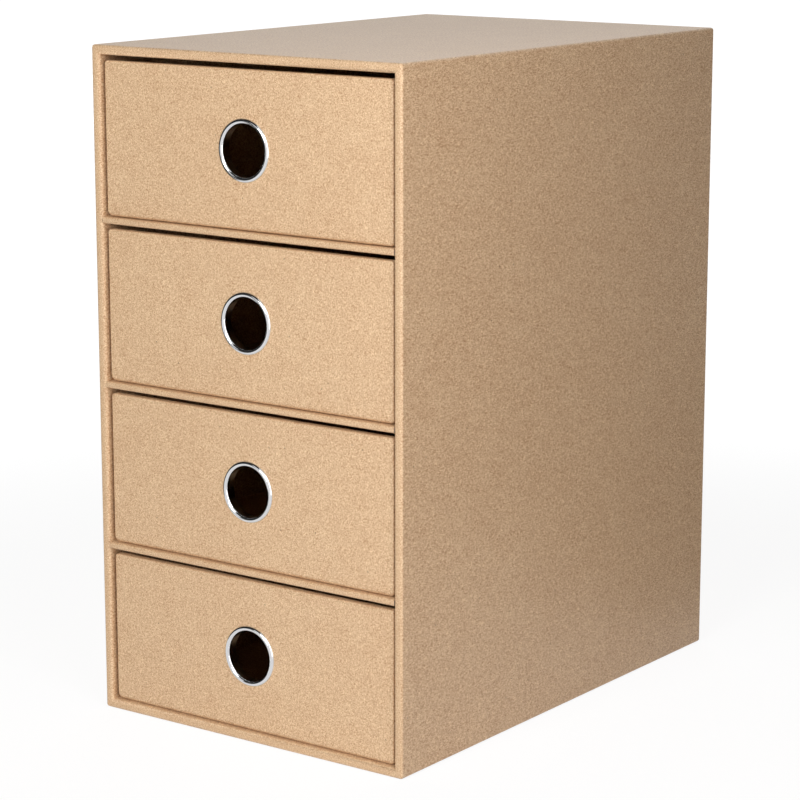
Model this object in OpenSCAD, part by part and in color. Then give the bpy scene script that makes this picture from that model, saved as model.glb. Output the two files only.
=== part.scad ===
// Desktop mini drawers: a tall case of kraft-covered greyboard with four sliding drawers.
// Each drawer is a covered tray behind a covered front, with a metal finger ring in the front.
// Millimetres. +Z is up, the fronts face -Y, and the origin is under the middle of the case.

/* [Case] */
// Overall width of the case
case_w = 178; // [150:1:240]
// Overall depth of the case, front to back
case_d = 265; // [200:1:360]
// Overall height of the case
case_h = 320; // [240:1:420]
// Thickness of the greyboard in the sides, top and bottom
wall_board = 4; // [2.5:0.1:5]
// Thickness of the greyboard in the back panel
back_board = 2.5; // [1.5:0.1:4]
// Thickness of the greyboard in a shelf
shelf_board = 2.5; // [1.5:0.1:4]
// Outside radius of the four long edges of the case
case_edge_r = 1.5; // [1.2:0.1:2.4]
// Radius where the cover folds over the front and back edges of the case
case_fold_r = 0.8; // [0.6:0.1:1.1]

/* [Kraft paper] */
// Thickness of the kraft paper
paper = 0.3; // [0.2:0.05:0.5]
// How far the cover turns in behind the front edges of the case
front_turn_in = 18; // [10:1:30]
// How far the cover turns over the back panel
back_turn_in = 15; // [8:1:25]
// How far the pasted back and base sheets stay inside the case's outline
sheet_inset = 2.5; // [1.5:0.1:5]
// How far a drawer's cover turns down inside its rim
rim_turn_in = 5; // [3:0.5:12]

/* [Drawer fit] */
// Gap at each side of a drawer
side_gap = 1.5; // [0.5:0.1:3]
// Gap between a drawer's front and what is over it
top_gap = 2.6; // [1:0.1:5]
// Running gap under a drawer
slide_gap = 0.3; // [0.2:0.1:0.6]
// Gap behind a closed drawer
rear_gap = 0.4; // [0.2:0.1:2]
// How far the closed fronts stand back from the front of the case
front_recess = 2; // [0.5:0.1:6]

/* [Drawers] */
// Thickness of the greyboard in a drawer's front
front_board = 3; // [2:0.1:4]
// Thickness of the greyboard in a drawer's tray
tray_board = 2; // [1.5:0.1:3]
// How far the tray's rim lies under the top of the front
rim_drop = 2; // [1:0.5:8]
// Corner radius of a drawer's front
front_corner_r = 2.2; // [1.5:0.1:5]
// Radius where the cover folds over the edges of a drawer's front
front_fold_r = 1; // [0.6:0.1:1.4]

/* [Finger rings] */
// Diameter of the finger hole inside a ring
finger_hole_d = 24; // [18:0.5:30]
// Width of the ring's domed flange
flange_w = 2.5; // [2.4:0.1:5]
// Height of the ring's domed flange
flange_h = 1; // [0.4:0.1:1.2]
// Thickness of the ring's barrel
barrel_wall = 0.5; // [0.3:0.05:0.8]
// Gap between the barrel and the hole in the front
barrel_gap = 0.1; // [0.05:0.05:0.3]
// Width of the flat washer behind the front
washer_w = 2.4; // [1.6:0.1:4]
// Thickness of that washer
washer_t = 0.5; // [0.3:0.1:1]
// How far the barrel's clenched end spreads over the washer
clench_w = 0.8; // [0.4:0.1:1.2]

/* [Hidden] */
CASE_NODES = [
    "case_left_board", "case_right_board", "case_top_board", "case_bottom_board", "case_back_board",
    "case_cover", "case_lining", "case_base_sheet", "case_back_sheet", "case_back_lining",
    "shelf_1_board", "shelf_2_board", "shelf_3_board",
    "shelf_1_cover", "shelf_2_cover", "shelf_3_cover"
];
DRAWER_1_NODES = [
    "drawer_1_front_board", "drawer_1_front_cover", "drawer_1_left_board", "drawer_1_right_board",
    "drawer_1_back_board", "drawer_1_base_board", "drawer_1_tray_cover", "drawer_1_lining",
    "drawer_1_ring", "drawer_1_washer"
];
DRAWER_2_NODES = [
    "drawer_2_front_board", "drawer_2_front_cover", "drawer_2_left_board", "drawer_2_right_board",
    "drawer_2_back_board", "drawer_2_base_board", "drawer_2_tray_cover", "drawer_2_lining",
    "drawer_2_ring", "drawer_2_washer"
];
DRAWER_3_NODES = [
    "drawer_3_front_board", "drawer_3_front_cover", "drawer_3_left_board", "drawer_3_right_board",
    "drawer_3_back_board", "drawer_3_base_board", "drawer_3_tray_cover", "drawer_3_lining",
    "drawer_3_ring", "drawer_3_washer"
];
DRAWER_4_NODES = [
    "drawer_4_front_board", "drawer_4_front_cover", "drawer_4_left_board", "drawer_4_right_board",
    "drawer_4_back_board", "drawer_4_base_board", "drawer_4_tray_cover", "drawer_4_lining",
    "drawer_4_ring", "drawer_4_washer"
];

$fn = 96;
DRAWERS = 4;       // drawer 1 is the top one
CUT = 1;           // how far a cutting tool runs past the face that it cuts

kraft = [0.79, 0.65, 0.50];
greyboard = [0.56, 0.52, 0.46];
bright_metal = [0.80, 0.80, 0.82];

// Case, from the outside inwards
front_y = -case_d / 2;                              // front of the covered frame
back_y = case_d / 2;                                // outside of the back sheet
board_back_y = back_y - 2 * paper;                  // rear ends of the boards, under turn-in and sheet
board_half_w = case_w / 2 - paper;                  // outer faces of the side boards
board_low_z = 2 * paper;                            // underside of the bottom board
board_high_z = case_h - paper;                      // upper face of the top board
bay_w = case_w - 2 * (wall_board + 2 * paper);      // clear width between the papered sides
floor_z = board_low_z + wall_board + paper;         // papered floor of the lowest bay
ceiling_z = board_high_z - wall_board - paper;      // papered ceiling of the top bay
back_face_y = board_back_y - back_board;            // front of the back board
bay_back_y = back_face_y - paper;                   // papered back of every bay

// Shelves and bays
shelf_t = shelf_board + 2 * paper;
shelf_fold_r = min(case_fold_r, shelf_t / 3);       // front edges of a shelf
bay_h = (ceiling_z - floor_z - (DRAWERS - 1) * shelf_t) / DRAWERS;
function bay_z(n) = floor_z + (DRAWERS - n) * (bay_h + shelf_t);

// Drawers, with z counted from the underside of the drawer
drawer_w = bay_w - 2 * side_gap;
front_h = bay_h - slide_gap - top_gap;
tray_h = front_h - rim_drop;
face_y = front_y + front_recess;                    // outer face of a closed drawer
tray_front_y = face_y + paper + front_board;        // rear face of the front board
tray_back_y = bay_back_y - rear_gap;                // outside of the tray's back
tray_corner_r = min(front_corner_r, tray_board);    // lower long edges, no rounder than their board
tray_half_w = drawer_w / 2 - paper;                 // outer faces of the tray's side boards
tray_floor_z = paper + tray_board;                  // upper face of the base board
hollow_w = drawer_w - 2 * (tray_board + 2 * paper); // clear width inside the papered tray
hollow_back_y = tray_back_y - tray_board - 2 * paper;
lining_h = tray_h - rim_turn_in;                    // upper edge of the lining

// Finger ring, with y counted from the drawer's outer face
ring_z = front_h / 2;
ring_r = finger_hole_d / 2;
hole_r = ring_r + barrel_wall + barrel_gap;
washer_y = paper + front_board + paper;             // where the washer lies on the lining
barrel_end_y = washer_y + washer_t;
clench_span = barrel_wall + barrel_gap + clench_w;
clench_h = clench_span / 2;

// A flat panel that stands across the depth: x from -half to half, z and y between two values
module slab(half, y, z) {
    translate([-half, y[0], z[0]])
        cube([2 * half, y[1] - y[0], z[1] - z[0]]);
}

// An upright outline in x and z, drawn out along the depth from y[0] to y[1]
module along_depth(y) {
    translate([0, y[1], 0])
        rotate([90, 0, 0])
            linear_extrude(height = y[1] - y[0])
                children();
}

// An outline in y and z, drawn out along the width from -half to half
module along_width(half) {
    translate([-half, 0, 0])
        rotate([90, 0, 90])
            linear_extrude(height = 2 * half)
                children();
}

// A rectangle with rounded corners
module rounded_rectangle(x, y, corner_r) {
    for (corner_x = [x[0] + corner_r, x[1] - corner_r], corner_y = [y[0] + corner_r, y[1] - corner_r])
        translate([corner_x, corner_y])
            circle(r = corner_r);
    translate([x[0], y[0] + corner_r])
        square([x[1] - x[0], y[1] - y[0] - 2 * corner_r]);
    translate([x[0] + corner_r, y[0]])
        square([x[1] - x[0] - 2 * corner_r, y[1] - y[0]]);
}

// A block with rounded long edges, whose front and back edges are rounded as folded paper is
module folded_block(half, y, z, corner_r, fold_r) {
    intersection() {
        along_depth(y)
            rounded_rectangle([-half, half], z, corner_r);
        translate([0, 0, z[0] - CUT])
            linear_extrude(height = z[1] - z[0] + 2 * CUT)
                rounded_rectangle([-half, half], y, fold_r);
        along_width(half + CUT)
            rounded_rectangle(y, z, fold_r);
    }
}

// What the case's carcass and its cover fill, drawn in by an inset
module case_block(inset) {
    folded_block(
        case_w / 2 - inset,
        [front_y + inset, back_y - paper - inset],
        [paper + inset, case_h - inset],
        case_edge_r - inset,
        case_fold_r - inset
    );
}

// Greyboard carcass of the case
module case_board(z) {
    color(greyboard)
        intersection() {
            case_block(paper);
            slab(case_w, [front_y, back_y], z);
        }
}

module case_top_board() case_board([board_high_z - wall_board, case_h]);
module case_bottom_board() case_board([0, board_low_z + wall_board]);

// side is -1 for the left board and 1 for the right one
module case_side_board(side) {
    color(greyboard)
        intersection() {
            case_block(paper);
            translate([side * (board_half_w - wall_board / 2), 0, 0])
                slab(
                    wall_board / 2,
                    [front_y, back_y],
                    [board_low_z + wall_board, board_high_z - wall_board]
                );
        }
}

module case_back_board() {
    color(greyboard)
        slab(
            board_half_w - wall_board,
            [back_face_y, board_back_y],
            [board_low_z + wall_board, board_high_z - wall_board]
        );
}

// One sheet wrapped round the carcass, turned in behind the front edges and over the back
module case_cover() {
    color(kraft)
        union() {
            difference() {
                case_block(0);
                case_block(paper);
                slab(bay_w / 2, [front_y - CUT, front_y + paper + CUT], [floor_z, ceiling_z]);
                back_window([board_back_y - CUT, back_y]);
            }
            bay_wall_paper([front_y, front_y + front_turn_in]);
        }
}

// The part of the back that the cover's turned edges leave free
module back_window(y) {
    slab(case_w / 2 - back_turn_in, y, [paper + back_turn_in, case_h - back_turn_in]);
}

// Paper on the four inner walls of the case, between two depths
module bay_wall_paper(y) {
    difference() {
        slab(bay_w / 2 + paper, y, [floor_z - paper, ceiling_z + paper]);
        slab(bay_w / 2, [y[0] - CUT, y[1] + CUT], [floor_z, ceiling_z]);
    }
}

module case_lining() {
    color(kraft)
        bay_wall_paper([front_y + front_turn_in, back_face_y]);
}

module case_back_lining() {
    color(kraft)
        slab(bay_w / 2, [bay_back_y, back_face_y], [floor_z, ceiling_z]);
}

module case_base_sheet() {
    color(kraft)
        slab(case_w / 2 - sheet_inset, [front_y + sheet_inset, back_y - sheet_inset], [0, paper]);
}

// Pasted over the turned edges, and pressed down onto the back board between them
module case_back_sheet() {
    color(kraft)
        difference() {
            union() {
                slab(
                    case_w / 2 - sheet_inset,
                    [back_y - paper, back_y],
                    [paper + sheet_inset, case_h - sheet_inset]
                );
                back_window([board_back_y, back_y]);
            }
            slab(
                case_w / 2 - back_turn_in - paper,
                [back_y - paper, back_y + CUT],
                [paper + back_turn_in + paper, case_h - back_turn_in - paper]
            );
        }
}

// What shelf n fills, drawn in by an inset at its front edge and faces; it lies under drawer n
module shelf_block(n, half, back, inset) {
    translate([0, 0, bay_z(n) - shelf_t])
        intersection() {
            along_width(half)
                rounded_rectangle(
                    [front_y + inset, back + shelf_t],
                    [inset, shelf_t - inset],
                    shelf_fold_r - inset
                );
            slab(case_w, [front_y, back], [0, shelf_t]);
        }
}

module shelf_board_n(n) {
    color(greyboard)
        shelf_block(n, bay_w / 2, bay_back_y, paper);
}

// Paper folded round the front edge of a shelf, over its top and its underside
module shelf_cover_n(n) {
    color(kraft)
        difference() {
            shelf_block(n, bay_w / 2, bay_back_y, 0);
            shelf_block(n, bay_w, bay_back_y + CUT, paper);
        }
}

// Puts a piece of drawer n at its height in the case
module in_bay(n) {
    translate([0, 0, bay_z(n) + slide_gap])
        children();
}

// Cuts the hole for the finger ring between two depths
module ring_hole(y) {
    translate([0, 0, ring_z])
        along_depth(y)
            circle(r = hole_r);
}

// What a drawer's front fills, drawn in by an inset at its face and edges
module front_block(inset) {
    intersection() {
        folded_block(
            drawer_w / 2 - inset,
            [face_y + inset, tray_front_y + front_fold_r],
            [inset, front_h - inset],
            front_corner_r - inset,
            front_fold_r - inset
        );
        slab(drawer_w, [front_y, tray_front_y], [-CUT, front_h + CUT]);
    }
}

// The outline of a tray, drawn in by an inset, with rounded lower and square upper corners
module tray_outline(inset) {
    half = drawer_w / 2 - inset;
    corner_r = tray_corner_r - inset;
    for (side = [-1, 1])
        translate([side * (half - corner_r), tray_corner_r])
            circle(r = corner_r);
    translate([-half + corner_r, inset])
        square([2 * (half - corner_r), corner_r]);
    translate([-half, tray_corner_r])
        square([2 * half, tray_h - inset - tray_corner_r]);
}

module drawer_front_board(n) {
    color(greyboard)
        in_bay(n)
            difference() {
                front_block(paper);
                ring_hole([face_y, tray_front_y + CUT]);
            }
}

// Covers the face and the edges of the front, and turns down behind its top edge
module drawer_front_cover(n) {
    color(kraft)
        in_bay(n) {
            difference() {
                front_block(0);
                front_block(paper);
                ring_hole([face_y - CUT, tray_front_y]);
            }
            slab(hollow_w / 2, [tray_front_y, tray_front_y + paper], [lining_h, tray_h]);
            slab(
                drawer_w / 2 - front_corner_r,
                [tray_front_y, tray_front_y + paper],
                [tray_h, front_h]
            );
        }
}

// side is -1 for the left board and 1 for the right one
module drawer_side_board(n, side) {
    color(greyboard)
        in_bay(n)
            translate([side * (tray_half_w - tray_board / 2), 0, 0])
                slab(
                    tray_board / 2,
                    [tray_front_y, tray_back_y - paper],
                    [tray_floor_z, tray_h - paper]
                );
}

module drawer_back_board(n) {
    color(greyboard)
        in_bay(n)
            slab(
                tray_half_w - tray_board,
                [tray_back_y - paper - tray_board, tray_back_y - paper],
                [tray_floor_z, tray_h - paper]
            );
}

module drawer_base_board(n) {
    color(greyboard)
        in_bay(n)
            intersection() {
                along_depth([tray_front_y, tray_back_y - paper])
                    tray_outline(paper);
                slab(drawer_w, [tray_front_y, tray_back_y], [0, tray_floor_z]);
            }
}

// One sheet round the base, the sides and the back of a tray, turned down inside the rim
module drawer_tray_cover(n) {
    color(kraft)
        in_bay(n) {
            difference() {
                along_depth([tray_front_y, tray_back_y])
                    tray_outline(0);
                along_depth([tray_front_y - CUT, tray_back_y - paper])
                    tray_outline(paper);
                slab(hollow_w / 2, [tray_front_y - CUT, hollow_back_y], [tray_floor_z, tray_h + CUT]);
            }
            difference() {
                slab(
                    hollow_w / 2 + paper,
                    [tray_front_y, hollow_back_y + paper],
                    [lining_h, tray_h]
                );
                slab(
                    hollow_w / 2,
                    [tray_front_y - CUT, hollow_back_y],
                    [lining_h - CUT, tray_h + CUT]
                );
            }
        }
}

// Paper on the floor and the four inner walls of a tray, up to the turned-down edge
module drawer_lining(n) {
    color(kraft)
        in_bay(n)
            difference() {
                slab(
                    hollow_w / 2 + paper,
                    [tray_front_y, hollow_back_y + paper],
                    [tray_floor_z, lining_h]
                );
                slab(
                    hollow_w / 2,
                    [tray_front_y + paper, hollow_back_y],
                    [tray_floor_z + paper, lining_h + CUT]
                );
                ring_hole([tray_front_y - CUT, tray_front_y + paper + CUT]);
            }
}

// Turns a profile of radius and depth round the axis of the finger hole
module ring_turned() {
    translate([0, face_y, ring_z])
        rotate([-90, 0, 0])
            rotate_extrude()
                children();
}

// A low dome of the given width and height, standing on the line y = 0
module dome(width, height) {
    dome_r = (width * width / 4 + height * height) / (2 * height);
    intersection() {
        translate([width / 2, height - dome_r])
            circle(r = dome_r);
        square([width, height]);
    }
}

// A domed flange in front, a barrel through the front, and its end clenched over the washer
module drawer_ring(n) {
    color(bright_metal)
        in_bay(n)
            ring_turned()
                union() {
                    translate([ring_r, 0])
                        mirror([0, 1])
                            dome(flange_w, flange_h);
                    translate([ring_r, 0])
                        square([barrel_wall, barrel_end_y]);
                    translate([ring_r, barrel_end_y])
                        dome(clench_span, clench_h);
                }
}

module drawer_washer(n) {
    color(bright_metal)
        in_bay(n)
            ring_turned()
                translate([hole_r, washer_y])
                    square([washer_w, washer_t]);
}

case_side_board(-1);  // case_left_board
case_side_board(1);  // case_right_board
case_top_board();
case_bottom_board();
case_back_board();
case_cover();
case_lining();
case_base_sheet();
case_back_sheet();
case_back_lining();

shelf_board_n(1);  // shelf_1_board
shelf_board_n(2);  // shelf_2_board
shelf_board_n(3);  // shelf_3_board
shelf_cover_n(1);  // shelf_1_cover
shelf_cover_n(2);  // shelf_2_cover
shelf_cover_n(3);  // shelf_3_cover

drawer_front_board(1);  // drawer_1_front_board
drawer_front_cover(1);  // drawer_1_front_cover
drawer_side_board(1, -1);  // drawer_1_left_board
drawer_side_board(1, 1);  // drawer_1_right_board
drawer_back_board(1);  // drawer_1_back_board
drawer_base_board(1);  // drawer_1_base_board
drawer_tray_cover(1);  // drawer_1_tray_cover
drawer_lining(1);  // drawer_1_lining
drawer_ring(1);  // drawer_1_ring
drawer_washer(1);  // drawer_1_washer

drawer_front_board(2);  // drawer_2_front_board
drawer_front_cover(2);  // drawer_2_front_cover
drawer_side_board(2, -1);  // drawer_2_left_board
drawer_side_board(2, 1);  // drawer_2_right_board
drawer_back_board(2);  // drawer_2_back_board
drawer_base_board(2);  // drawer_2_base_board
drawer_tray_cover(2);  // drawer_2_tray_cover
drawer_lining(2);  // drawer_2_lining
drawer_ring(2);  // drawer_2_ring
drawer_washer(2);  // drawer_2_washer

drawer_front_board(3);  // drawer_3_front_board
drawer_front_cover(3);  // drawer_3_front_cover
drawer_side_board(3, -1);  // drawer_3_left_board
drawer_side_board(3, 1);  // drawer_3_right_board
drawer_back_board(3);  // drawer_3_back_board
drawer_base_board(3);  // drawer_3_base_board
drawer_tray_cover(3);  // drawer_3_tray_cover
drawer_lining(3);  // drawer_3_lining
drawer_ring(3);  // drawer_3_ring
drawer_washer(3);  // drawer_3_washer

drawer_front_board(4);  // drawer_4_front_board
drawer_front_cover(4);  // drawer_4_front_cover
drawer_side_board(4, -1);  // drawer_4_left_board
drawer_side_board(4, 1);  // drawer_4_right_board
drawer_back_board(4);  // drawer_4_back_board
drawer_base_board(4);  // drawer_4_base_board
drawer_tray_cover(4);  // drawer_4_tray_cover
drawer_lining(4);  // drawer_4_lining
drawer_ring(4);  // drawer_4_ring
drawer_washer(4);  // drawer_4_washer
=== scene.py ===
import math

import bmesh
import bpy
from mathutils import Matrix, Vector


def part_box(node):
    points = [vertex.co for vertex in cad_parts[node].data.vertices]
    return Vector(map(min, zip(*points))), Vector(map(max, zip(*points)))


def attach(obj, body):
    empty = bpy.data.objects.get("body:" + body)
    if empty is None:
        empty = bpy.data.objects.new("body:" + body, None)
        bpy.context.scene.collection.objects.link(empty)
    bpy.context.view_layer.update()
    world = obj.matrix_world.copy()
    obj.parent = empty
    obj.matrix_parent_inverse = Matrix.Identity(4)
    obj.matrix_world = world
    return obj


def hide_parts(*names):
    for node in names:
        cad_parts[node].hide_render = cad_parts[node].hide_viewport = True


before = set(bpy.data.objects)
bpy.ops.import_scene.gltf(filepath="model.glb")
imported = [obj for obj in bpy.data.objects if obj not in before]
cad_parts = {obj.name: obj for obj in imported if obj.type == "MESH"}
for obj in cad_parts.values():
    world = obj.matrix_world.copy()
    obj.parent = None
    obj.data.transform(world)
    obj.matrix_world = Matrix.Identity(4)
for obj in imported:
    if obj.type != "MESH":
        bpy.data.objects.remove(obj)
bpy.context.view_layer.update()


# Case cover. One sheet of brown kraft paper is wrapped round the greyboard carcass and pasted down.
# At the front it is folded over the boards, mitred at the corners and turned 18 mm into the case;
# at the back it is turned 15 mm over the back board.
MM = 0.001
CASE_EDGE_R = 1.5 * MM      # the four long edges
CASE_END_R = 1.3 * MM       # the folds over the front and the back edges
MOUTH_R = 1.8 * MM          # the fold from the front edge into the case
BACK_TURN_IN = 15 * MM
CREASE_W = 0.5 * MM         # the seam between the two flaps that meet at a mitred corner
CREASE_DEPTH = 0.2 * MM
CLOSE = 0.01 * MM           # places nearer than this count as the same
SAME_WAY = 0.999            # directions more alike than this count as the same, 1 being equal

cover_low, cover_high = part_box("case_cover")
base_low, base_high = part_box("case_base_sheet")
paper = base_high.z - base_low.z
wall_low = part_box("case_lining")[0]
mouth_low = wall_low + Vector((paper, 0, paper))
frame_w = mouth_low.x - cover_low.x


def near(a, b):
    """True where two places along an axis are the same."""
    return abs(a - b) < CLOSE


def deselect():
    """Leaves edit mode, with nothing selected."""
    if bpy.context.object and bpy.context.object.mode == "EDIT":
        bpy.ops.object.mode_set(mode="OBJECT")
    bpy.ops.object.select_all(action="DESELECT")


def start_piece(name):
    """Names the primitive that was just added, puts its place in its mesh and edits it."""
    bpy.ops.object.transform_apply(location=True, rotation=True, scale=True)
    piece = bpy.context.object
    piece.name = name
    piece.data.name = name
    bpy.ops.object.mode_set(mode="EDIT")
    return piece


def start_block(name, low, high):
    """A box of the given corners, in edit mode."""
    deselect()
    bpy.ops.mesh.primitive_cube_add(size=1, location=(low + high) / 2, scale=high - low)
    return start_piece(name)


def select(kind, wanted):
    """In edit mode, selects only the vertices, edges or faces that pass a test."""
    bpy.ops.mesh.select_mode(type=kind)
    bpy.ops.mesh.select_all(action="DESELECT")
    mesh = bpy.context.object.data
    shape = bmesh.from_edit_mesh(mesh)
    elements = {"VERT": shape.verts, "EDGE": shape.edges, "FACE": shape.faces}[kind]
    for element in elements:
        if wanted(element):
            element.select_set(True)
    shape.select_flush_mode()
    bmesh.update_edit_mesh(mesh)


def facing(x, y, z):
    """A test for faces that look the given way."""
    return lambda face: face.normal.dot(Vector((x, y, z))) > SAME_WAY


def extrude(x, y, z):
    """Extrudes what is selected by so much along each axis."""
    bpy.ops.mesh.extrude_region_move(TRANSFORM_OT_translate={"value": (x, y, z)})


def finish_modifier(modifier):
    """Applies a modifier of the active piece."""
    bpy.ops.object.modifier_apply(modifier=modifier.name)


def round_folds(piece, fold_r, segments=5):
    """Leaves edit mode and rounds each edge by the radius that fold_r gives for its two ends."""
    bpy.ops.object.mode_set(mode="OBJECT")
    corners = piece.data.vertices
    radii = [fold_r(*(corners[index].co for index in edge.vertices)) for edge in piece.data.edges]
    marks = piece.data.attributes
    weights = marks.get("bevel_weight_edge") or marks.new("bevel_weight_edge", "FLOAT", "EDGE")
    for mark, radius in zip(weights.data, radii):
        mark.value = radius / max(radii)
    rounding = piece.modifiers.new("folds", "BEVEL")
    rounding.limit_method = "WEIGHT"
    rounding.width = max(radii)
    rounding.segments = segments
    rounding.use_clamp_overlap = False
    finish_modifier(rounding)


def press_seams(is_seam, width, depth):
    """In edit mode, widens a sheet's seams to grooves and presses them so far towards the rear."""
    select("EDGE", is_seam)
    bpy.ops.mesh.bevel(offset=width / 2, segments=2, affect="EDGES", clamp_overlap=False)
    select("EDGE", is_seam)
    bpy.ops.transform.translate(value=(0, depth, 0))


def thicken(piece, thickness):
    """Gives a sheet its thickness on the side that its faces turn away from."""
    wall = piece.modifiers.new("thickness", "SOLIDIFY")
    wall.thickness = thickness
    wall.offset = -1
    wall.use_even_offset = True
    finish_modifier(wall)


def smooth(piece, angle=40):
    """Shades folds of less than an angle in degrees as round and keeps the flat panels flat."""
    bpy.ops.object.shade_smooth_by_angle(angle=math.radians(angle))
    flatten = piece.modifiers.new("flat_panels", "WEIGHTED_NORMAL")
    flatten.keep_sharp = True
    finish_modifier(flatten)


class Wire:
    """One output of a material's node. Arithmetic on it adds Math nodes."""

    def __init__(self, tree, socket=None):
        self.tree = tree
        self.socket = socket

    def add(self, kind, settings=None, inputs=None, output=0):
        """Adds a node: its settings first, then the values or links of its sockets."""
        node = self.tree.nodes.new(kind)
        for name, value in (settings or {}).items():
            setattr(node, name, value)
        for name, value in (inputs or {}).items():
            if isinstance(value, Wire):
                self.tree.links.new(value.socket, node.inputs[name])
            else:
                node.inputs[name].default_value = value
        return Wire(self.tree, node.outputs[output])

    def math(self, operation, *values):
        return self.add("ShaderNodeMath", {"operation": operation}, dict(enumerate(values)))

    def __add__(self, other):
        return self.math("ADD", self, other)

    __radd__ = __add__

    def __sub__(self, other):
        return self.math("SUBTRACT", self, other)

    def __rsub__(self, other):
        return self.math("SUBTRACT", other, self)

    def __mul__(self, other):
        return self.math("MULTIPLY", self, other)

    __rmul__ = __mul__

    def noise(self, scale, detail=2.0, roughness=0.5):
        """Smooth noise from 0 to 1, about 0.5 on average, with so many features per millimetre."""
        sizes = {"Vector": self, "Scale": scale, "Detail": detail, "Roughness": roughness}
        return self.add("ShaderNodeTexNoise", None, sizes)

    def specks(self, spacing, radius, strength):
        """A mask of round specks, one in each cell of a spacing. Both sizes are in millimetres."""
        solid_share = 0.6   # how far out a speck is solid, before its rim fades
        away = self.add("ShaderNodeTexVoronoi", None, {"Vector": self, "Scale": 1 / spacing})
        return away.ramp(radius / spacing, radius * solid_share / spacing) * strength

    def ramp(self, start, end):
        """0 at a start value and 1 at an end value, with a soft rise between them."""
        rising = start < end
        limits = {1: min(start, end), 2: max(start, end)}
        results = {3: 0.0 if rising else 1.0, 4: 1.0 if rising else 0.0}
        settings = {"interpolation_type": "SMOOTHSTEP"}
        return self.add("ShaderNodeMapRange", settings, {0: self, **limits, **results})

    def mix(self, first, second):
        """first where this wire is 0 and second where it is 1, both colours."""
        return self.add("ShaderNodeMix", {"data_type": "RGBA"}, {0: self, 6: first, 7: second}, 2)

    def times(self, share):
        """A colour or a vector made larger or smaller."""
        return self.add("ShaderNodeVectorMath", {"operation": "SCALE"}, {0: self, "Scale": share})


def paint(red, green, blue):
    """A colour given by its numbers from 0 to 255 on a screen, as Blender holds it."""
    return tuple(((level / 255 + 0.055) / 1.055) ** 2.4 for level in (red, green, blue)) + (1.0,)


def start_material(name, metallic=0.0):
    """A new material, its shader, and its place on the object in millimetres."""
    material = bpy.data.materials.new(name)
    material.use_nodes = True
    shader = material.node_tree.nodes["Principled BSDF"]
    shader.inputs["Metallic"].default_value = metallic
    place = Wire(material.node_tree).add("ShaderNodeTexCoord", output="Object").times(1 / MM)
    return material, shader, place


def finish_material(material, shader, colour, roughness, height, depth):
    """Links a material's colour, roughness and a bump of so many millimetres to its shader."""
    links = material.node_tree.links
    links.new(colour.socket, shader.inputs["Base Color"])
    links.new(roughness.socket, shader.inputs["Roughness"])
    sizes = {"Strength": 1.0, "Distance": depth * MM, "Height": height}
    bump = height.add("ShaderNodeBump", None, sizes)
    links.new(bump.socket, shader.inputs["Normal"])


def kraft_material():
    """Uncoated recycled kraft: short mixed fibres, a soft mottle, and dark and pale specks."""
    brown_fibres = paint(178, 129, 88)
    pale_fibres = paint(248, 221, 181)
    stretch = (1.0, 0.5, 1.0)   # the fibres lie twice as long from front to back
    balance = 0.84              # brings the sum of the patterns to one half on average

    material, shader, place = start_material("kraft_paper")
    drawn = place.add("ShaderNodeVectorMath", {"operation": "MULTIPLY"}, {0: place, 1: stretch})
    fibres = drawn.noise(scale=1.3, detail=1.0, roughness=0.6)
    grain = drawn.noise(scale=2.4, detail=1.0, roughness=0.5)
    mottle = drawn.noise(scale=0.16, detail=3.0, roughness=0.6)
    cloud = place.noise(scale=0.02, detail=2.0)
    pale_share = fibres * 0.9 + grain * 1.5 + mottle * 0.2 + cloud * 0.08 - balance
    sheet = pale_share.mix(brown_fibres, pale_fibres)
    dark_specks = place.specks(spacing=9.0, radius=0.42, strength=0.7)
    pale_specks = place.specks(spacing=6.3, radius=0.36, strength=0.45)
    colour = dark_specks.mix(sheet, paint(104, 72, 48))
    colour = pale_specks.mix(colour, paint(240, 214, 180))
    roughness = 0.30 + grain * 0.2
    height = fibres * 0.5 + grain * 0.5
    finish_material(material, shader, colour, roughness, height, depth=0.28)
    return material


kraft = kraft_material()


def cover_in(piece, material, body, node):
    """Gives a piece its material, hangs it on the body that it moves with, and hides the CAD part
    that it stands for.
    """
    piece.data.materials.clear()
    piece.data.materials.append(material)
    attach(piece, body)
    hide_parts(node)


def case_fold_r(a, b):
    """Radius of the case cover along the edge between two corners."""
    def on_outline(point):
        across = near(abs(point.x), cover_high.x)
        return across or near(point.z, cover_low.z) or near(point.z, cover_high.z)

    if not near(a.y, b.y):
        return CASE_EDGE_R if near(abs(a.x), cover_high.x) and near(abs(b.x), cover_high.x) else 0
    if on_outline(a) and on_outline(b) and (near(a.y, cover_low.y) or near(a.y, cover_high.y)):
        return CASE_END_R
    if near(a.y, cover_low.y) and not on_outline(a) and not on_outline(b):
        return MOUTH_R
    return 0


def edge_inset(point, low, high):
    """How far a point is inside the left or right and the top or bottom of an outline."""
    from_side = min(point.x - low.x, high.x - point.x)
    from_end = min(point.z - low.z, high.z - point.z)
    return from_side, from_end


def runs_from_corner(edge, low, high):
    """True for an edge that runs slantwise in from a corner of an outline."""
    insets = [edge_inset(corner.co, low, high) for corner in edge.verts]
    return all(near(*inset) for inset in insets) and not near(insets[0][0], insets[1][0])


def is_mitre(edge):
    """The edges between the outer and the inner corners of the front frame."""
    at_front = all(near(corner.co.y, cover_low.y) for corner in edge.verts)
    return at_front and runs_from_corner(edge, cover_low, cover_high)


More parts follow.
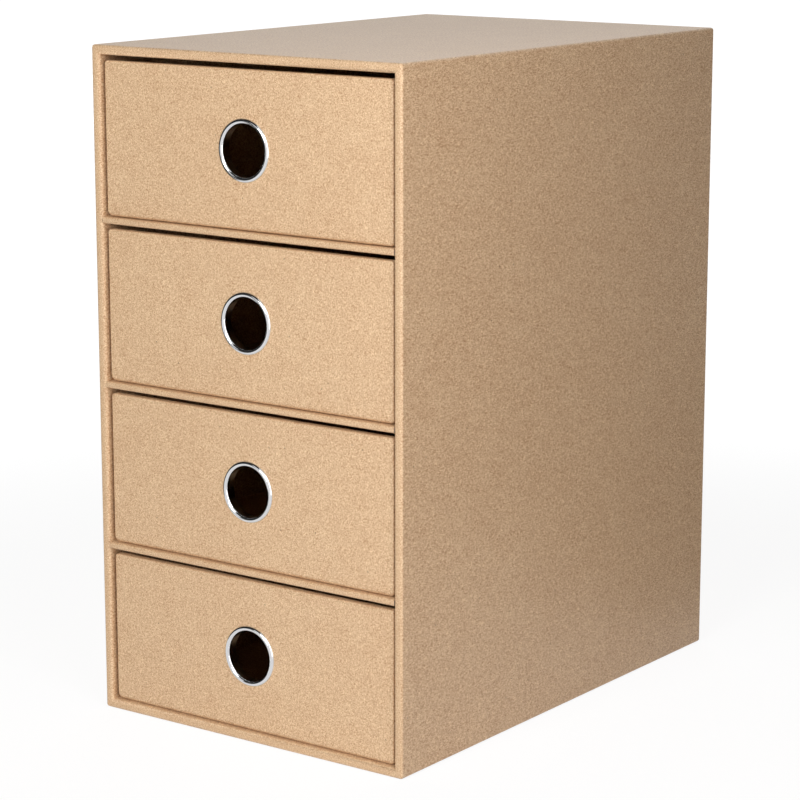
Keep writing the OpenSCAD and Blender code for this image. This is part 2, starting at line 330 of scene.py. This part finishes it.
case_wrap = start_block("case_wrap", cover_low, cover_high)
select("FACE", facing(0, -1, 0))
bpy.ops.mesh.inset(thickness=frame_w)
extrude(0, wall_low.y - cover_low.y, 0)
bpy.ops.mesh.delete(type="FACE")
select("FACE", facing(0, 1, 0))
bpy.ops.mesh.inset(thickness=BACK_TURN_IN)
bpy.ops.mesh.delete(type="FACE")
round_folds(case_wrap, case_fold_r)
bpy.ops.object.mode_set(mode="EDIT")
press_seams(is_mitre, CREASE_W, CREASE_DEPTH)
bpy.ops.object.mode_set(mode="OBJECT")
thicken(case_wrap, paper)
smooth(case_wrap)
cover_in(case_wrap, kraft, "case", "case_cover")


# Carcass. Five boards of grey recycled greyboard, glued edge to edge, with the edges that the cover
# is folded over pressed round. The walls inside are lined with the same kraft as the cover, and a
# kraft sheet is pasted under the bottom.
LONG_EDGE = 100 * MM        # a board's edge along the mouth is longer than this, and its ends shorter


def greyboard_material():
    """Grey-brown board pressed from waste paper, with coarse fibres and flecks of print."""
    material, shader, place = start_material("greyboard")
    fibres = place.noise(scale=0.8, detail=3.0, roughness=0.6)
    layers = place.noise(scale=0.12, detail=3.0, roughness=0.6)
    board = layers.mix(paint(150, 140, 126), paint(168, 157, 141)).times(0.7 + fibres * 0.6)
    dark_flecks = place.specks(spacing=5.0, radius=0.4, strength=0.6)
    pale_flecks = place.specks(spacing=6.5, radius=0.5, strength=0.5)
    colour = dark_flecks.mix(board, paint(84, 80, 78))
    colour = pale_flecks.mix(colour, paint(206, 200, 188))
    roughness = 0.74 + fibres * 0.2
    finish_material(material, shader, colour, roughness, fibres, depth=0.12)
    return material


def board_edge_r(a, b):
    """Radius along the edge between two corners of a wall board, inside the folds of the cover."""
    on_side = near(abs(a.x), board_high.x) and near(a.x, b.x)
    on_end = near(a.z, b.z) and (near(a.z, board_low.z) or near(a.z, board_high.z))
    if not near(a.y, b.y):
        return CASE_EDGE_R - paper if on_side and on_end else 0
    if on_side or on_end:
        return CASE_END_R - paper
    at_mouth = near(a.y, board_low.y) and (a - b).length > LONG_EDGE
    return MOUTH_R - paper if at_mouth else 0


greyboard = greyboard_material()
board_low = cover_low + Vector((paper, paper, paper))
board_high = cover_high - Vector((paper, paper, paper))

for wall in ("left", "right", "top", "bottom"):
    wall_board = start_block(f"{wall}_wall_board", *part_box(f"case_{wall}_board"))
    round_folds(wall_board, board_edge_r)
    smooth(wall_board)
    cover_in(wall_board, greyboard, "case", f"case_{wall}_board")

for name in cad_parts:
    material = greyboard if name.endswith("board") else kraft
    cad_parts[name].data.materials.clear()
    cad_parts[name].data.materials.append(material)


# Back sheet. A second kraft sheet, pasted over the back and stopping 2.5 mm short of its edges. It
# hides the turned-in edges of the cover, whose outline shows through it as a soft step.
SINK_W = 0.8 * MM           # how wide the step is where the sheet drops onto the board
STEP_R = 0.45 * MM
GROOVE_W = 0.5 * MM         # the mitres of the cover's flaps, which show through as fine grooves
GROOVE_DEPTH = 0.12 * MM

sheet_low, sheet_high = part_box("case_back_sheet")
sunk_low = cover_low + Vector((BACK_TURN_IN, 0, BACK_TURN_IN))


def is_flap_seam(edge):
    """The slanting edges of the back sheet over the cover's mitres."""
    level = all(near(corner.co.y, sheet_high.y) for corner in edge.verts)
    return level and runs_from_corner(edge, sheet_low, sheet_high)


def sheet_fold_r(a, b):
    """Radius of the step along the edge between two corners, and none round the sheet's outline."""
    insets = [edge_inset(point, sheet_low, sheet_high) for point in (a, b)]
    runs_round = near(min(insets[0]), min(insets[1])) and near(a.y, b.y)
    return STEP_R if runs_round and not near(min(insets[0]), 0) else 0


back_sheet = start_block("case_back_wrap", sheet_low, sheet_high)
select("FACE", lambda face: not facing(0, 1, 0)(face))
bpy.ops.mesh.delete(type="FACE")
select("FACE", facing(0, 1, 0))
bpy.ops.mesh.inset(thickness=sunk_low.x - sheet_low.x - SINK_W)
bpy.ops.mesh.inset(thickness=SINK_W)
bpy.ops.transform.translate(value=(0, -paper, 0))
round_folds(back_sheet, sheet_fold_r, segments=4)
bpy.ops.object.mode_set(mode="EDIT")
press_seams(is_flap_seam, GROOVE_W, -GROOVE_DEPTH)
bpy.ops.object.mode_set(mode="OBJECT")
thicken(back_sheet, paper)
smooth(back_sheet)
cover_in(back_sheet, kraft, "case", "case_back_sheet")


# Shelves. Three thinner greyboards, each with kraft folded round its front edge and pasted over
# its top and underside. They are glued between the sides, flush with the front of the case.
SHELF_R = 1.2 * MM

shelf_low, shelf_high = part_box("shelf_1_cover")


def shelf_fold_r(a, b):
    """Radius of a shelf's cover, which is folded only along the front."""
    at_front = near(a.y, shelf_low.y) and near(b.y, shelf_low.y)
    return SHELF_R if at_front and not near(a.x, b.x) else 0


def copy_piece(piece, name, drop):
    """A copy of a finished piece, with its own mesh, so many metres lower."""
    deselect()
    piece.select_set(True)
    bpy.context.view_layer.objects.active = piece
    bpy.ops.object.duplicate(linked=False)
    bpy.ops.transform.translate(value=(0, 0, -drop))
    bpy.ops.object.transform_apply(location=True, rotation=True, scale=True)
    copy = bpy.context.object
    copy.name = name
    copy.data.name = name
    return copy


shelf_wrap = start_block("shelf_1_wrap", shelf_low, shelf_high)
select("FACE", lambda face: abs(face.normal.x) > SAME_WAY or face.normal.y > SAME_WAY)
bpy.ops.mesh.delete(type="FACE")
round_folds(shelf_wrap, shelf_fold_r)
thicken(shelf_wrap, paper)
smooth(shelf_wrap)
shelf_wraps = [shelf_wrap]
for number in (2, 3):
    drop = shelf_low.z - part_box(f"shelf_{number}_cover")[0].z
    shelf_wraps.append(copy_piece(shelf_wrap, f"shelf_{number}_wrap", drop))
for number, piece in enumerate(shelf_wraps, 1):
    cover_in(piece, kraft, "case", f"shelf_{number}_cover")


# Drawer fronts. A 3 mm greyboard, pressed rounder along the bottom than along the other edges and
# covered in kraft that is folded over all four. At the top the paper turns down behind the board
# and is pasted inside the tray.
FRONT_EDGE_R = 0.8 * MM     # along the top and the sides
FRONT_BOTTOM_R = 2.2 * MM
FRONT_REAR_R = 0.6 * MM     # where the paper turns down behind the board
UPPER_CORNER_R = 1.7 * MM
LOWER_CORNER_R = 2.4 * MM
FINGER_HOLE_R = 12.6 * MM
ROUND_STEPS = 96            # the flats that a drilled hole or a turned ring is made of
BOARD_BIT = 8 * MM          # how long the bit is that drills the board
SHEET_BIT = 2 * MM          # how long the bit is that drills a sheet of paper
WELD = 0.001 * MM           # corners nearer than this become one

front_low, front_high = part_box("drawer_1_front_cover")
core_low, core_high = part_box("drawer_1_front_board")
tray_low, tray_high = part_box("drawer_1_tray_cover")
lining_low, lining_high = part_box("drawer_1_lining")
ring_low, ring_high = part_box("drawer_1_ring")
hollow_half_w = lining_high.x - paper
finger_place = Vector((0, front_low.y, (ring_low.z + ring_high.z) / 2))
drawer_drops = {
    number: front_low.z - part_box(f"drawer_{number}_front_cover")[0].z for number in (1, 2, 3, 4)
}


def cut(place, normal, drop_behind=False):
    """In edit mode, cuts the whole mesh along a plane, and can drop what is behind it."""
    bpy.ops.mesh.select_all(action="SELECT")
    bpy.ops.mesh.bisect(plane_co=place, plane_no=normal, clear_inner=drop_behind, threshold=WELD)


def drill(piece, place, length):
    """Cuts the finger hole, front to back, with a bit whose middle is at a place."""
    deselect()
    bpy.ops.mesh.primitive_cylinder_add(
        vertices=ROUND_STEPS,
        radius=FINGER_HOLE_R,
        depth=length,
        location=place,
        rotation=(math.radians(90), 0, 0),
    )
    bit = bpy.context.object
    deselect()
    piece.select_set(True)
    bpy.context.view_layer.objects.active = piece
    hole = piece.modifiers.new("hole", "BOOLEAN")
    hole.object = bit
    hole.solver = "EXACT"
    finish_modifier(hole)
    bpy.data.objects.remove(bit)


def make_each(piece, material, kind, node):
    """Copies drawer 1's finished piece to drawers 2, 3 and 4, and sets all four in their places."""
    for number, drop in drawer_drops.items():
        copy = piece if number == 1 else copy_piece(piece, f"drawer_{number}_{kind}", drop)
        cover_in(copy, material, f"drawer_{number}", f"drawer_{number}_{node}")


def round_front(piece, low, high, within=0):
    """Rounds the corners and then the folds of a front, or of what is so far within the front."""
    def corner_r(a, b):
        if near(a.y, b.y):
            return 0
        return (LOWER_CORNER_R if near(a.z, low.z) else UPPER_CORNER_R) - within

    def fold_r(a, b):
        """Radius round the face, larger along the bottom, and along the rear of the top edge."""
        if near(a.y, low.y) and near(b.y, low.y):
            low_share = 1 - min(1, ((a.z + b.z) / 2 - low.z) / LOWER_CORNER_R)
            return FRONT_EDGE_R + (FRONT_BOTTOM_R - FRONT_EDGE_R) * low_share - within
        at_rear = near(a.y, high.y) and near(b.y, high.y)
        return FRONT_REAR_R - within if at_rear and near(a.z, high.z) and near(b.z, high.z) else 0

    round_folds(piece, corner_r, segments=7)
    round_folds(piece, fold_r, segments=5)


def is_open(face):
    """What the cover of a front leaves bare: its rear, apart from what turns down into the tray."""
    middle = face.calc_center_median()
    if middle.y < tray_low.y + CLOSE or middle.z > tray_high.z:
        return False
    return middle.z < lining_high.z or abs(middle.x) > hollow_half_w


front_core = start_block("drawer_1_front_core", core_low, core_high)
round_front(front_core, core_low, core_high, within=paper)
drill(front_core, finger_place, BOARD_BIT)
smooth(front_core)
make_each(front_core, greyboard, "front_core", "front_board")

front_wrap = start_block("drawer_1_front_wrap", front_low, front_high)
round_front(front_wrap, front_low, front_high)
bpy.ops.object.mode_set(mode="EDIT")
cut(tray_low, (0, 1, 0))
cut(tray_high, (0, 0, 1))
cut(lining_high, (0, 0, 1))
cut((hollow_half_w, 0, 0), (1, 0, 0))
cut((-hollow_half_w, 0, 0), (1, 0, 0))
select("FACE", is_open)
bpy.ops.mesh.delete(type="FACE")
bpy.ops.object.mode_set(mode="OBJECT")
thicken(front_wrap, paper)
drill(front_wrap, finger_place, SHEET_BIT)
smooth(front_wrap)
make_each(front_wrap, kraft, "front_wrap", "front_cover")


# Trays. Greyboard sides, back and base, wrapped in one kraft sheet that is turned 5 mm down inside
# the rim. The hollow is lined with kraft up to that turned edge. The front board closes the tray,
# so its cover is begun as a longer block and cut off where that board stands.
RIM_TURN_IN = tray_high.z - lining_high.z
TRAY_LONG_R = 2.0 * MM
TRAY_EDGE_R = 0.7 * MM
RIM_R = 0.55 * MM
LINING_R = 0.8 * MM

tray_wall = tray_high.x - hollow_half_w
tray_start = tray_low - Vector((0, 2 * tray_wall, 0))
hollow_low = lining_low + Vector((paper, paper, paper))
hollow_high = lining_high - Vector((paper, paper, 0))


def tray_fold_r(a, b):
    """Radius of the tray's cover along the edge between two corners."""
    outside = all(near(abs(point.x), tray_high.x) or near(point.y, tray_high.y) for point in (a, b))
    along_rear = near(a.y, tray_high.y) and near(b.y, tray_high.y)
    if near(a.z, tray_low.z) and near(b.z, tray_low.z):
        end_r = TRAY_EDGE_R if along_rear else 0
        return TRAY_LONG_R if near(a.x, b.x) else end_r
    if near(a.z, tray_high.z) and near(b.z, tray_high.z):
        along_front = near(a.y, tray_low.y) and near(b.y, tray_low.y)
        slanting = not near(a.x, b.x) and not near(a.y, b.y)
        return 0 if along_front or slanting else RIM_R
    return TRAY_EDGE_R if near(a.x, b.x) and outside and along_rear else 0


def lining_fold_r(a, b):
    """Radius of the lining's folds, with none along its open top."""
    along_top = near(a.z, hollow_high.z) and near(b.z, hollow_high.z)
    return 0 if along_top else LINING_R


tray_wrap = start_block("drawer_1_tray_wrap", tray_start, tray_high)
select("FACE", facing(0, 0, 1))
bpy.ops.mesh.inset(thickness=tray_wall)
extrude(0, 0, -RIM_TURN_IN)
bpy.ops.mesh.delete(type="FACE")
cut(tray_low, (0, 1, 0), drop_behind=True)
round_folds(tray_wrap, tray_fold_r)
thicken(tray_wrap, paper)
smooth(tray_wrap)
make_each(tray_wrap, kraft, "tray_wrap", "tray_cover")

tray_lining = start_block("drawer_1_tray_lining", hollow_low, hollow_high)
select("FACE", facing(0, 0, 1))
bpy.ops.mesh.delete(type="FACE")
bpy.ops.mesh.select_all(action="SELECT")
bpy.ops.mesh.flip_normals()
round_folds(tray_lining, lining_fold_r, segments=4)
thicken(tray_lining, paper)
drill(tray_lining, finger_place + Vector((0, hollow_low.y - front_low.y, 0)), SHEET_BIT)
smooth(tray_lining)
make_each(tray_lining, kraft, "tray_lining", "lining")


# Finger rings. Each is an eyelet pressed from thin steel and chromed: a domed flange in front, a
# barrel through the board, and its end curled over a flat washer inside the drawer.
RING_SHEET = 0.42 * MM
FLANGE_DOME_R = 1.281 * MM  # of the arc that the section of the flange is part of
BARREL_INSET = 0.6 * MM     # from the hole in the board to the inside of the barrel
CURL_R = 0.7 * MM
WASHER_EDGE_R = 0.12 * MM
FLANGE_STEPS = 64           # the flats of a full round of the flange's dome
CURL_STEPS = 8

washer_low, washer_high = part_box("drawer_1_washer")
ring_r = FINGER_HOLE_R - BARREL_INSET
flange_r = ring_high.x
flange_mid_r = (ring_r + flange_r) / 2
barrel_end_y = washer_high.y
washer_mid_r = (FINGER_HOLE_R + washer_high.x) / 2
washer_mid_y = (washer_low.y + washer_high.y) / 2


def chrome_material():
    """Bright chrome plating, with the faint haze and fine marks of handling."""
    material, shader, place = start_material("ring_chrome", metallic=1.0)
    haze = place.noise(scale=0.25, detail=3.0, roughness=0.6)
    marks = place.noise(scale=3.5, detail=2.0, roughness=0.6)
    colour = haze.mix(paint(208, 209, 212), paint(220, 220, 220))
    roughness = 0.03 + haze * 0.07 + marks * 0.03
    finish_material(material, shader, colour, roughness, marks, depth=0.004)
    return material


def turn_section():
    """Turns the section that is being edited into a closed ring round the finger hole."""
    full_turn = math.radians(360)
    bpy.ops.mesh.select_all(action="SELECT")
    bpy.ops.mesh.spin(steps=ROUND_STEPS, angle=full_turn, center=finger_place, axis=(0, 1, 0))
    bpy.ops.mesh.select_all(action="SELECT")
    bpy.ops.mesh.remove_doubles(threshold=WELD)
    bpy.ops.mesh.normals_make_consistent(inside=False)


chrome = chrome_material()
deselect()
bpy.ops.mesh.primitive_circle_add(
    vertices=FLANGE_STEPS,
    fill_type="NGON",
    radius=FLANGE_DOME_R,
    location=(flange_mid_r, ring_low.y + FLANGE_DOME_R, finger_place.z),
)
ring = start_piece("drawer_1_finger_ring")
cut(finger_place, (0, -1, 0), drop_behind=True)
select("EDGE", lambda edge: all(near(corner.co.y, finger_place.y) for corner in edge.verts))
bpy.ops.mesh.delete(type="EDGE")
select("VERT", lambda corner: near(corner.co.y, finger_place.y) and corner.co.x < flange_mid_r)
extrude(0, barrel_end_y - finger_place.y, 0)
bpy.ops.mesh.spin(
    steps=CURL_STEPS,
    angle=math.radians(180),
    center=(ring_r + CURL_R, barrel_end_y, finger_place.z),
    axis=(0, 0, 1),
)
turn_section()
foremost = min(bmesh.from_edit_mesh(ring.data).faces, key=lambda face: face.calc_center_median().y)
if foremost.normal.y > 0:
    bpy.ops.mesh.flip_normals()
bpy.ops.object.mode_set(mode="OBJECT")
thicken(ring, RING_SHEET)
smooth(ring, angle=50)
make_each(ring, chrome, "finger_ring", "ring")

deselect()
bpy.ops.mesh.primitive_plane_add(size=1, location=(washer_mid_r, washer_mid_y, finger_place.z))
washer = bpy.context.object
washer.scale = (washer_high.x - FINGER_HOLE_R, washer_high.y - washer_low.y, 1)
washer = start_piece("drawer_1_flat_washer")
bpy.ops.mesh.select_all(action="SELECT")
bpy.ops.mesh.bevel(offset=WASHER_EDGE_R, segments=2, affect="VERTICES")
bpy.ops.mesh.delete(type="ONLY_FACE")
turn_section()
bpy.ops.object.mode_set(mode="OBJECT")
smooth(washer)
make_each(washer, chrome, "flat_washer", "washer")


# Studio. A plain pale floor that turns to pure white further off, and white surroundings that only
# the camera and reflections see. Softboxes stand on the right, in front and behind. Black flags on
# the left and above draw the dark lines in the rings, and two on the right calm the side's sheen.
WHITE = (1.0, 1.0, 1.0, 1.0)
BLACK = (0.01, 0.01, 0.01, 1.0)
FLOOR_W = 12
FLOOR_DROP = 0.1 * MM       # keeps the floor just clear of the underside
FLOOR_GREY = (0.82, 0.82, 0.82, 1.0)
FLOOR_GLOW = 1.08
NEAR_GLOW_SHARE = 0.84      # by the case some of the floor stays grey, to take its shadow
GLOW_STARTS = 0.3           # how far from the middle of the case the floor begins to turn white
GLOW_ENDS = 0.9             # and where it is all white


def seen_by_eye(tree):
    """1 for rays from the camera and for reflections and refractions, and otherwise 0."""
    def ray(kind):
        return Wire(tree).add("ShaderNodeLightPath", output=kind)

    seen = ray("Is Camera Ray")
    for kind in ("Is Glossy Ray", "Is Transmission Ray"):
        seen = seen.math("MAXIMUM", seen, ray(kind))
    return seen


def aim_at(thing, place, aim):
    """Sets a lamp or a panel in its place, turned towards a point."""
    thing.location = place
    thing.rotation_euler = (Vector(aim) - Vector(place)).to_track_quat("-Z", "Y").to_euler()
    thing.visible_camera = False


def add_lamp(name, place, aim, width, height, watts, colour=(1.0, 1.0, 1.0)):
    """A rectangular softbox that the camera doesn't see."""
    lamp_data = bpy.data.lights.new(name, "AREA")
    lamp_data.shape = "RECTANGLE"
    lamp_data.size = width
    lamp_data.size_y = height
    lamp_data.energy = watts
    lamp_data.color = colour
    lamp = bpy.data.objects.new(name, lamp_data)
    bpy.context.scene.collection.objects.link(lamp)
    aim_at(lamp, place, aim)


def add_flag(name, place, aim, width, height):
    """A black panel that shows only in reflections."""
    deselect()
    bpy.ops.mesh.primitive_plane_add(size=1)
    flag = bpy.context.object
    flag.name = name
    flag.scale = (width, height, 1)
    flag.data.materials.append(black)
    flag.visible_diffuse = False
    flag.visible_shadow = False
    aim_at(flag, place, aim)


world = bpy.data.worlds.new("studio")
world.use_nodes = True
bpy.context.scene.world = world
backdrop = world.node_tree.nodes["Background"]
backdrop.inputs["Color"].default_value = WHITE
world.node_tree.links.new(seen_by_eye(world.node_tree).socket, backdrop.inputs["Strength"])

deselect()
bpy.ops.mesh.primitive_plane_add(size=FLOOR_W, location=(0, 0, -FLOOR_DROP))
floor = bpy.context.object
floor.name = "floor"
pale = bpy.data.materials.new("floor_white")
pale.use_nodes = True
tree = pale.node_tree
matt = Wire(tree).add("ShaderNodeBsdfDiffuse", None, {"Color": FLOOR_GREY})
glow = Wire(tree).add("ShaderNodeEmission", None, {"Color": WHITE, "Strength": FLOOR_GLOW})
place = Wire(tree).add("ShaderNodeTexCoord", output="Object")
away = place.add("ShaderNodeVectorMath", {"operation": "LENGTH"}, {0: place}, "Value")
far_share = away.ramp(GLOW_STARTS, GLOW_ENDS)
glow_share = (NEAR_GLOW_SHARE + far_share * (1 - NEAR_GLOW_SHARE)) * seen_by_eye(tree)
surface = Wire(tree).add("ShaderNodeMixShader", None, {0: glow_share, 1: matt, 2: glow})
tree.links.new(surface.socket, tree.nodes["Material Output"].inputs["Surface"])
floor.data.materials.append(pale)

black = bpy.data.materials.new("flag_black")
black.use_nodes = True
black_shader = black.node_tree.nodes["Principled BSDF"]
black_shader.inputs["Base Color"].default_value = BLACK
black_shader.inputs["Roughness"].default_value = 0.9

add_lamp(
    "tall_softbox", place=(0.52, -0.39, 0.38), aim=(0.05, -0.20, 0.18),
    width=0.3, height=0.8, watts=2.35, colour=(1.0, 0.95, 0.95),
)
add_lamp(
    "broad_softbox", place=(0.28, -2.20, 1.15), aim=(0.0, -0.10, 0.16),
    width=1.0, height=0.8, watts=34.3,
)
add_lamp(
    "high_softbox", place=(-0.50, 0.90, 1.30), aim=(0.0, 0.0, 0.32),
    width=0.8, height=0.8, watts=2.8,
)
add_lamp(
    "low_softbox", place=(-1.20, 1.30, 0.16), aim=(0.0, 0.0, 0.16),
    width=1.4, height=0.28, watts=15,
)
add_flag("left_flag", (-0.80, -0.75, 0.60), (0.0, -0.75, 0.60), width=1.7, height=1.2)
add_flag("near_flag", (-0.35, -0.20, 0.30), (0.0, -0.20, 0.30), width=0.4, height=0.6)
add_flag("high_flag", (-0.35, -0.75, 1.20), (-0.35, -0.75, 0.0), width=0.9, height=1.7)
add_flag("side_flag", (0.70, 0.45, 0.20), (0.10, 0.0, 0.20), width=1.2, height=0.9)
add_flag("floor_flag", (0.40, 0.42, 0.002), (0.40, 0.42, 0.0), width=0.56, height=0.56)


# Camera. It stands in front of the case and to its right with a long lens, a little higher than
# the top, and looks down by 12 degrees, so that the top shows as a narrow band.
SENSOR_W = 36.0
LENS = 121.8
LOOK_DOWN = 11.86           # degrees below level
LOOK_LEFT = 36.26           # degrees to the left of straight back

camera_data = bpy.data.cameras.new("camera")
camera_data.sensor_width = SENSOR_W
camera_data.lens = LENS
camera = bpy.data.objects.new("camera", camera_data)
camera.location = (0.769, -1.061, 0.416)
camera.rotation_euler = (math.radians(90 - LOOK_DOWN), 0, math.radians(LOOK_LEFT))
bpy.context.scene.collection.objects.link(camera)
bpy.context.scene.camera = camera
bpy.context.scene.view_settings.view_transform = "Standard"
